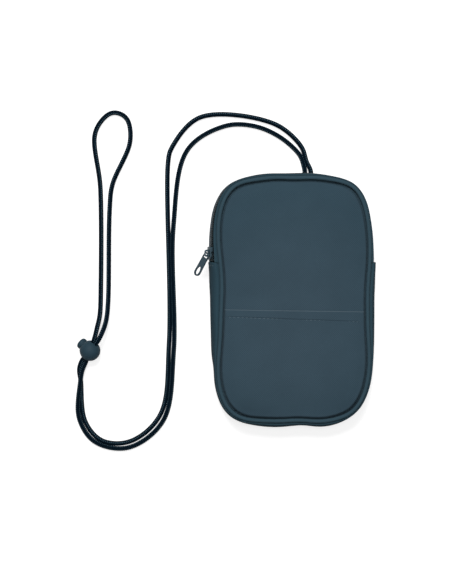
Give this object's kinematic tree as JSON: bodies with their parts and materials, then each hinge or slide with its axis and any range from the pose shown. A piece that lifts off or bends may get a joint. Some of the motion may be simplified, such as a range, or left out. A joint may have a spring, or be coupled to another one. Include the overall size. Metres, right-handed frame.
{
  "type": "crossbody phone pouch",
  "caption": "Soft padded oblong phone pouch with rounded corners, a slip pocket on its front, a side and top coil zip, and a doubled neck cord held by a sprung ball lock.",
  "frame": {"origin": "centre of the back panel's outer face, which the pouch lies on", "axes": "+Y towards the pouch's top, where the cord leaves it; +Z out of the front panel; +X to the right seen from the front"},
  "size_m": [0.214, 0.2431, 0.0259],
  "materials": {
    "cloth": "matt slate blue knitted cloth",
    "foam": "soft foam sheet",
    "lining": "thin woven lining",
    "piping": "cloth over a filler cord",
    "zip_tape": "woven tape",
    "zip_coil": "nylon coil",
    "slider_metal": "dark satin plating",
    "cord": "round navy braid",
    "lock_plastic": "satin moulded plastic",
    "spring_steel": "bare wire"
  },
  "bodies": {
    "pouch": {"back_panel": "cloth", "back_foam": "foam", "back_lining": "lining", "front_panel": "cloth", "front_foam": "foam", "front_lining": "lining", "front_pocket": "cloth", "bottom_gusset": "cloth", "gusset_lining": "lining", "zip_gusset_front": "cloth", "zip_gusset_back": "cloth", "front_piping": "piping", "back_piping": "piping", "front_seam_binding": "lining", "back_seam_binding": "lining", "zip_tape_front": "zip_tape", "zip_tape_back": "zip_tape", "zip_teeth_front": "zip_coil", "zip_teeth_back": "zip_coil", "neck_cord": "cord"},
    "slider": {"slider_body": "slider_metal", "slider_bridge": "slider_metal"},
    "tab": {"pull_tab": "slider_metal"},
    "lock": {"lock_body": "lock_plastic", "lock_spring": "spring_steel"},
    "button": {"lock_plunger": "lock_plastic"}
  },
  "joints": [
    {"name": "slider_travel", "type": "slide", "parent": "pouch", "child": "slider", "axis": [0.0203, 0.9998, 0], "range_m": [0, 0.016], "deforming": ["zip_teeth_front", "zip_teeth_back"]},
    {"name": "tab_swing", "type": "hinge", "parent": "slider", "child": "tab", "pos_m": [-0.06078, 0.03277, 0.01716], "axis": [-0.5974, 0.4324, -0.6754], "range_deg": [-10, 100]},
    {"name": "lock_slide", "type": "slide", "parent": "pouch", "child": "lock", "axis": [0.4775, 0.7948, 0.3746], "range_m": [-0.0015, 0.001]},
    {"name": "button_press", "type": "slide", "parent": "lock", "child": "button", "axis": [0.7242, -0.5975, 0.3443], "range_m": [0, 0.0015], "stiffness_N_per_m": 400, "springref_m": -0.002, "deforming": ["lock_spring"]}
  ]
}
